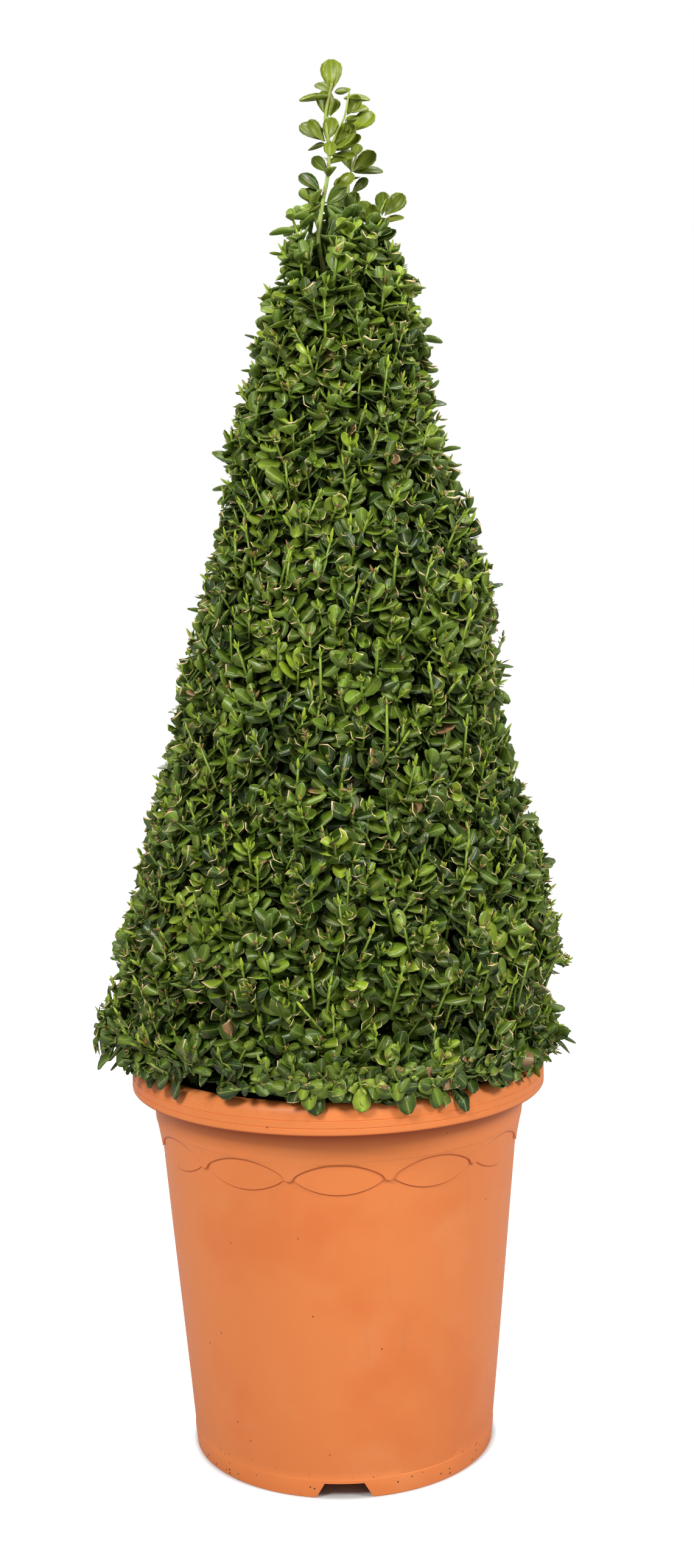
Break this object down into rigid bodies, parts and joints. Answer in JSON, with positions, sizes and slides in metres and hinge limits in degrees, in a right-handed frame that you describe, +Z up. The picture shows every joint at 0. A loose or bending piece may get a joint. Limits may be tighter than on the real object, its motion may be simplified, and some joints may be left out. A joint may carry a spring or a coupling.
{
  "type": "potted boxwood",
  "caption": "Evergreen boxwood shrub clipped to a tall cone, growing in a round nursery pot with a scalloped band under its lip.",
  "frame": {"origin": "on the ground at the pot's axis, under the plant", "axes": "+Z up, -Y is the front, the plant leans slightly towards +X"},
  "size_m": [0.3665, 0.3666, 1.1193],
  "materials": {
    "pot": "satin",
    "compost": "matte",
    "bark": "matte",
    "green_stem": "satin",
    "leaves": "satin",
    "young_leaves": "satin"
  },
  "bodies": {
    "root": {"pot": "pot", "compost": "compost", "trunk": "bark", "branch_1_1": "bark", "leaf_spray_1_1": "leaves", "branch_1_2": "bark", "leaf_spray_1_2": "leaves", "branch_1_3": "bark", "leaf_spray_1_3": "leaves", "branch_1_4": "bark", "leaf_spray_1_4": "leaves", "branch_2_1": "bark", "leaf_spray_2_1": "leaves", "branch_2_2": "bark", "leaf_spray_2_2": "leaves", "branch_2_3": "bark", "leaf_spray_2_3": "leaves", "branch_2_4": "bark", "leaf_spray_2_4": "leaves", "branch_3_1": "bark", "leaf_spray_3_1": "leaves", "branch_3_2": "bark", "leaf_spray_3_2": "leaves", "branch_3_3": "bark", "leaf_spray_3_3": "leaves", "branch_4_1": "bark", "leaf_spray_4_1": "leaves", "branch_4_2": "bark", "leaf_spray_4_2": "leaves", "branch_4_3": "bark", "leaf_spray_4_3": "leaves", "branch_5_1": "bark", "leaf_spray_5_1": "leaves", "branch_5_2": "bark", "leaf_spray_5_2": "leaves", "leaf_crown": "leaves", "leader": "green_stem", "leader_leaf_1": "young_leaves", "leader_leaf_2": "young_leaves", "leader_leaf_3": "young_leaves", "leader_leaf_4": "young_leaves", "leader_leaf_5": "young_leaves", "leader_leaf_6": "young_leaves", "leader_leaf_7": "young_leaves", "leader_leaf_8": "young_leaves", "leader_leaf_9": "young_leaves", "leader_leaf_10": "young_leaves", "second_shoot": "green_stem", "second_shoot_leaf_1": "young_leaves", "second_shoot_leaf_2": "young_leaves", "second_shoot_leaf_3": "young_leaves", "second_shoot_leaf_4": "young_leaves", "second_shoot_leaf_5": "young_leaves", "second_shoot_leaf_6": "young_leaves", "side_shoot": "green_stem", "side_shoot_leaf_1": "young_leaves", "side_shoot_leaf_2": "young_leaves"}
  },
  "joints": []
}
